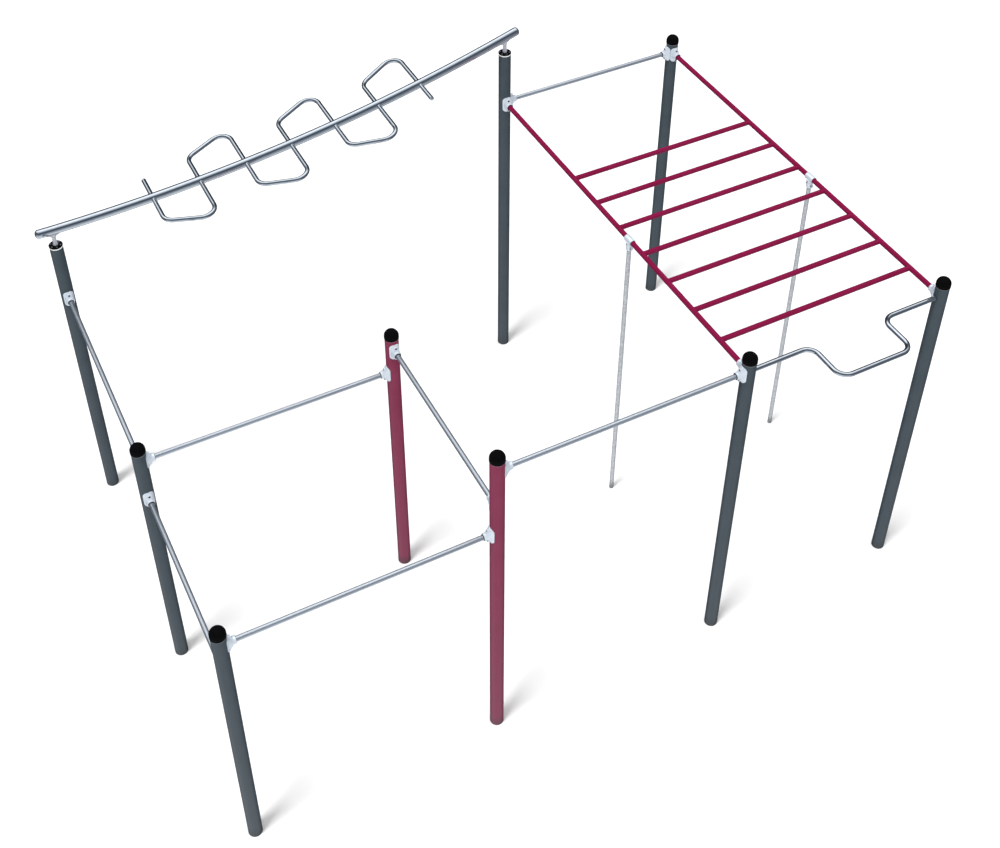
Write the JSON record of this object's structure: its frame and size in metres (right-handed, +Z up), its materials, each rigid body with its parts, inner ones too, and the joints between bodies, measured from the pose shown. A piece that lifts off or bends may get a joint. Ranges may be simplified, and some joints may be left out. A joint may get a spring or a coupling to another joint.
{
  "type": "outdoor fitness station",
  "caption": "Outdoor bodyweight training station: round posts carrying pull-up bars, a bent grip bar, a monkey ladder on props and a curved slalom beam with a wave-shaped grip bar.",
  "frame": {"origin": "on the ground, in the middle of the whole station's box", "axes": "+X along the longest side, from the low square of bars towards the ladder; +Y from the bent bar's side towards the slalom beam's side; +Z up"},
  "size_m": [5.6354, 4.3518, 3.4792],
  "materials": {
    "slate_powder_coat": "semi-gloss powder coat",
    "raspberry_powder_coat": "semi-gloss powder coat",
    "ladder_powder_coat": "semi-gloss powder coat",
    "black_cap_plastic": "matt moulded plastic",
    "satin_stainless_steel": "satin, ground along the tube",
    "polished_stainless_steel": "mirror polished tube",
    "galvanised_steel": "dull zinc coating",
    "cast_aluminium": "fine cast surface, pale coating"
  },
  "bodies": {
    "root": {"post_a1": "slate_powder_coat", "post_a2": "raspberry_powder_coat", "post_a3": "slate_powder_coat", "post_a4": "slate_powder_coat", "post_b1": "slate_powder_coat", "post_b2": "raspberry_powder_coat", "post_c1": "slate_powder_coat", "post_c3": "slate_powder_coat", "post_c4": "slate_powder_coat", "cap_a1": "black_cap_plastic", "cap_a2": "black_cap_plastic", "cap_a3": "black_cap_plastic", "cap_a4": "black_cap_plastic", "cap_b1": "black_cap_plastic", "cap_b2": "black_cap_plastic", "cap_c4": "black_cap_plastic", "bar_a1_b1": "satin_stainless_steel", "bar_a1_a2": "satin_stainless_steel", "bar_b1_b2": "satin_stainless_steel", "bar_b1_c1": "satin_stainless_steel", "bar_a2_b2": "satin_stainless_steel", "bar_a2_a3": "satin_stainless_steel", "bar_c3_c4": "satin_stainless_steel", "rail_left": "ladder_powder_coat", "rail_right": "ladder_powder_coat", "rung_1": "ladder_powder_coat", "rung_2": "ladder_powder_coat", "rung_3": "ladder_powder_coat", "rung_4": "ladder_powder_coat", "rung_5": "ladder_powder_coat", "rung_6": "ladder_powder_coat", "rung_7": "ladder_powder_coat", "bracket_a1_to_b1": "cast_aluminium", "bracket_b1_to_a1": "cast_aluminium", "bracket_a1_to_a2": "cast_aluminium", "bracket_a2_to_a1": "cast_aluminium", "bracket_b1_to_b2": "cast_aluminium", "bracket_b2_to_b1": "cast_aluminium", "bracket_b1_to_c1": "cast_aluminium", "bracket_c1_to_b1": "cast_aluminium", "bracket_a2_to_b2": "cast_aluminium", "bracket_b2_to_a2": "cast_aluminium", "bracket_a2_to_a3": "cast_aluminium", "bracket_a3_to_a2": "cast_aluminium", "bracket_c3_to_c4": "cast_aluminium", "bracket_c4_to_c3": "cast_aluminium", "bracket_a3_to_c3": "cast_aluminium", "bracket_c3_to_a3": "cast_aluminium", "bracket_a4_to_c4": "cast_aluminium", "bracket_c4_to_a4": "cast_aluminium", "prop_left": "galvanised_steel", "rail_clamp_left": "cast_aluminium", "prop_right": "galvanised_steel", "rail_clamp_right": "cast_aluminium", "bent_bar": "polished_stainless_steel", "wave_bar": "polished_stainless_steel", "slalom_beam": "polished_stainless_steel", "beam_stand_low": "satin_stainless_steel", "beam_stand_high": "satin_stainless_steel"}
  },
  "joints": []
}
